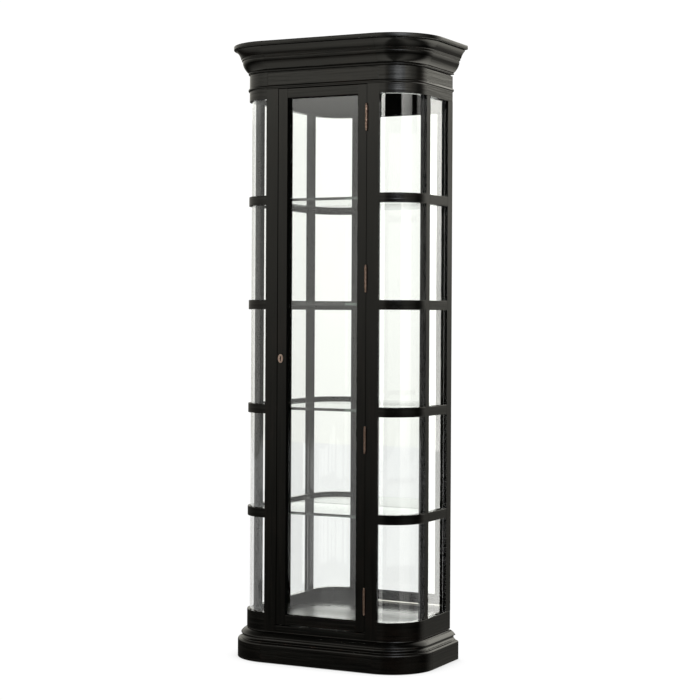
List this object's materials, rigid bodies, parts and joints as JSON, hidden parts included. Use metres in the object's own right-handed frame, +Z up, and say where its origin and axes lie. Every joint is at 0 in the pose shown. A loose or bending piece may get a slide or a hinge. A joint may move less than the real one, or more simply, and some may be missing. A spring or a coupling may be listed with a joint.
{
  "type": "display cabinet",
  "caption": "Tall black-lacquered display cabinet: bent-glass front corners, glazed lockable door, glass shelves, mirror back, moulded base and cornice.",
  "frame": {"origin": "middle of the cabinet's footprint (its bounding box), on the floor", "axes": "+Z up, -Y out of the door face, +X to the right as one faces the door"},
  "size_m": [0.806, 0.413, 2.2],
  "materials": {
    "lacquer": "black lacquer on fine-grained wood, satin, worn to reddish brown on the edges",
    "glass": "clear polished glass",
    "mirror": "silvered mirror glass",
    "brass": "aged brass, dulled and browned"
  },
  "bodies": {
    "cabinet": {"plinth_front": "lacquer", "plinth_corner_left": "lacquer", "plinth_corner_right": "lacquer", "plinth_side_left": "lacquer", "plinth_side_right": "lacquer", "plinth_back": "lacquer", "sill_front": "lacquer", "rail_corner_left": "lacquer", "rail_corner_right": "lacquer", "rail_side_left": "lacquer", "rail_side_right": "lacquer", "floor_panel": "lacquer", "front_stile_left": "lacquer", "front_stile_right": "lacquer", "side_post_left": "lacquer", "side_post_right": "lacquer", "rear_post_left": "lacquer", "rear_post_right": "lacquer", "bars_corner_left": "lacquer", "bars_corner_right": "lacquer", "bars_side_left": "lacquer", "bars_side_right": "lacquer", "glass_corner_left": "glass", "glass_corner_right": "glass", "glass_side_left": "glass", "glass_side_right": "glass", "frieze_front": "lacquer", "frieze_corner_left": "lacquer", "frieze_corner_right": "lacquer", "frieze_side_left": "lacquer", "frieze_side_right": "lacquer", "cornice_front": "lacquer", "cornice_corner_left": "lacquer", "cornice_corner_right": "lacquer", "cornice_side_left": "lacquer", "cornice_side_right": "lacquer", "cornice_back": "lacquer", "top_panel": "lacquer", "ceiling_panel": "lacquer", "back_panel": "lacquer", "mirror": "mirror", "shelf_1": "glass", "shelf_2": "glass", "shelf_3": "glass", "shelf_4": "glass", "shelf_pins": "brass", "strike_plate": "brass", "hinge_frame_leaves": "brass", "hinge_pins": "brass", "door_stop": "lacquer"},
    "door": {"door_stile_hinge": "lacquer", "door_stile_lock": "lacquer", "door_rail_top": "lacquer", "door_rail_bottom": "lacquer", "door_glass": "glass", "door_glass_bead": "lacquer", "escutcheon": "brass", "lock_case": "brass", "hinge_door_leaves": "brass"},
    "lock_bolt_body": {"lock_bolt": "brass"}
  },
  "joints": [
    {"name": "door_hinge", "type": "hinge", "parent": "cabinet", "child": "door", "pos_m": [0.175, -0.153, 1.08], "axis": [0, 0, 1], "range_deg": [0, 170]},
    {"name": "bolt_slide", "type": "slide", "parent": "door", "child": "lock_bolt_body", "axis": [-1, 0, 0], "range_m": [0, 0.008]}
  ]
}
